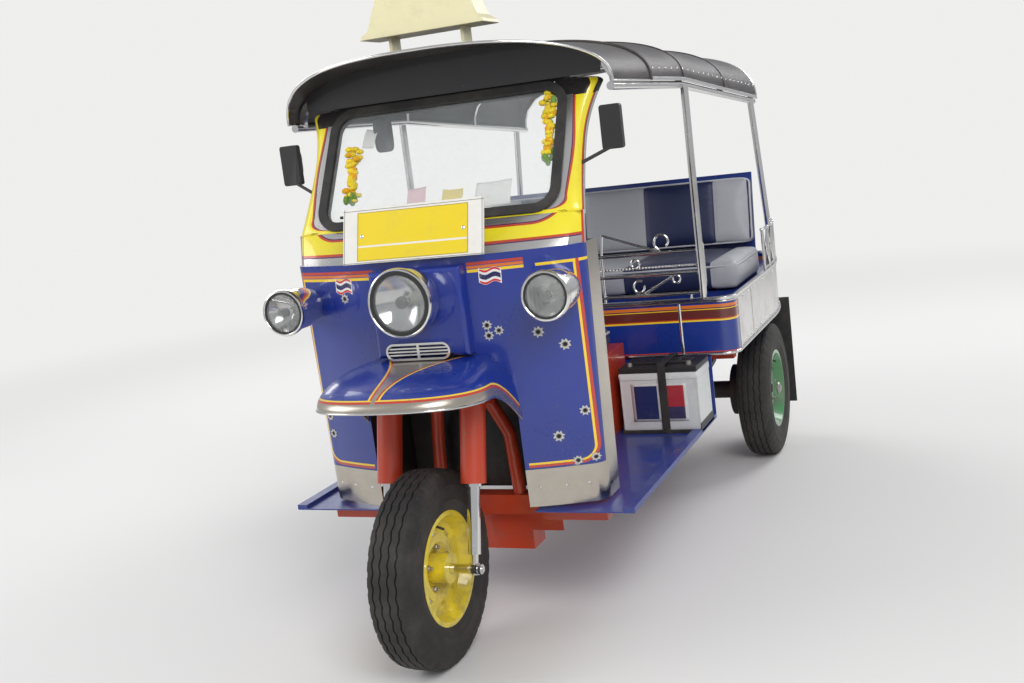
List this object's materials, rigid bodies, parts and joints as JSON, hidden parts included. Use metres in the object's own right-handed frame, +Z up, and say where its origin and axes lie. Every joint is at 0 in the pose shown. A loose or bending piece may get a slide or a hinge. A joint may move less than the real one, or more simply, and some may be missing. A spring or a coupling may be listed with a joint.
{
  "type": "auto rickshaw",
  "caption": "Open-sided passenger vehicle with a steered front wheel, windscreen, canopy, driver's seat and a passenger bench in a low tub.",
  "frame": {"origin": "middle of the whole vehicle's outline, on the ground", "axes": "+Z up, -Y towards the front wheel, +X to the vehicle's left"},
  "size_m": [1.282, 2.8469, 1.931],
  "materials": {
    "blue_paint": "glossy blue paint with stripes",
    "yellow_paint": "glossy yellow paint with stripes",
    "red_paint": "worn red paint",
    "green_paint": "green paint on the rear rims",
    "rim_yellow": "yellow paint on the front rim",
    "chassis_black": "black chassis paint, dusty",
    "stainless": "polished stainless sheet",
    "bright_chrome": "chrome plate",
    "lamp_glass": "fluted clear glass",
    "screen_glass": "clear safety glass",
    "red_lens": "red lens",
    "black_rubber": "black rubber",
    "tyre_rubber": "worn black tyre",
    "dark_vinyl": "dark blue and grey vinyl upholstery",
    "roof_vinyl": "black coated roof cloth",
    "white_plastic": "white plastic",
    "cream_plastic": "cream translucent plastic",
    "plate_paint": "yellow enamel, blank",
    "dark_plastic": "black plastic",
    "mirror_face": "mirror in a black case",
    "rust_steel": "dark oily castings",
    "exhaust_steel": "heat-stained steel"
  },
  "bodies": {
    "root": {"battery": "white_plastic", "chassis_frame": "red_paint", "cowl_brightwork": "stainless", "dashboard": "dark_plastic", "driver_box": "red_paint", "driver_cushion": "dark_vinyl", "engine": "rust_steel", "exhaust": "exhaust_steel", "footboard": "blue_paint", "front_cowl": "blue_paint", "front_mudguard": "blue_paint", "headlamp_lenses": "lamp_glass", "headlamp_shells": "bright_chrome", "leaf_springs": "chassis_black", "mirrors": "mirror_face", "mud_flaps": "black_rubber", "nose_grille": "bright_chrome", "number_plate": "plate_paint", "partition_rails": "bright_chrome", "rear_axle": "rust_steel", "rear_bumper": "bright_chrome", "roof_canopy": "roof_vinyl", "roof_frame": "bright_chrome", "roof_sign": "cream_plastic", "roof_visor": "roof_vinyl", "seat_back": "dark_vinyl", "seat_box": "blue_paint", "seat_cushion": "dark_vinyl", "side_lattices": "bright_chrome", "tail_lamps": "red_lens", "tub_cap": "bright_chrome", "tub_floor": "blue_paint", "tub_panels": "blue_paint", "tub_sides": "stainless", "wheel_well": "chassis_black", "windscreen_frame": "yellow_paint", "windscreen_gasket": "black_rubber", "windscreen_glass": "screen_glass"},
    "steering": {"fork_sliders": "bright_chrome", "fork_upper": "red_paint", "front_axle": "bright_chrome", "handlebar": "chassis_black"},
    "front_wheel": {"front_tyre": "tyre_rubber", "front_rim": "rim_yellow"},
    "rear_wheel_left": {"rear_tyre_left": "tyre_rubber", "rear_rim_left": "green_paint"},
    "rear_wheel_right": {"rear_tyre_right": "tyre_rubber", "rear_rim_right": "green_paint"}
  },
  "joints": [
    {"name": "steering", "type": "hinge", "parent": "root", "child": "steering", "pos_m": [0, -1.10742, 0.26445], "axis": [0, 0.2639, 0.9646], "range_deg": [-38, 38]},
    {"name": "front_wheel_spin", "type": "hinge", "parent": "steering", "child": "front_wheel", "pos_m": [0, -1.146, 0.275], "axis": [1, 0, 0], "continuous": true},
    {"name": "rear_wheel_left_spin", "type": "hinge", "parent": "root", "child": "rear_wheel_left", "pos_m": [0.542, 0.921, 0.272], "axis": [1, 0, 0], "continuous": true},
    {"name": "rear_wheel_right_spin", "type": "hinge", "parent": "root", "child": "rear_wheel_right", "pos_m": [-0.542, 0.921, 0.272], "axis": [1, 0, 0], "continuous": true}
  ]
}
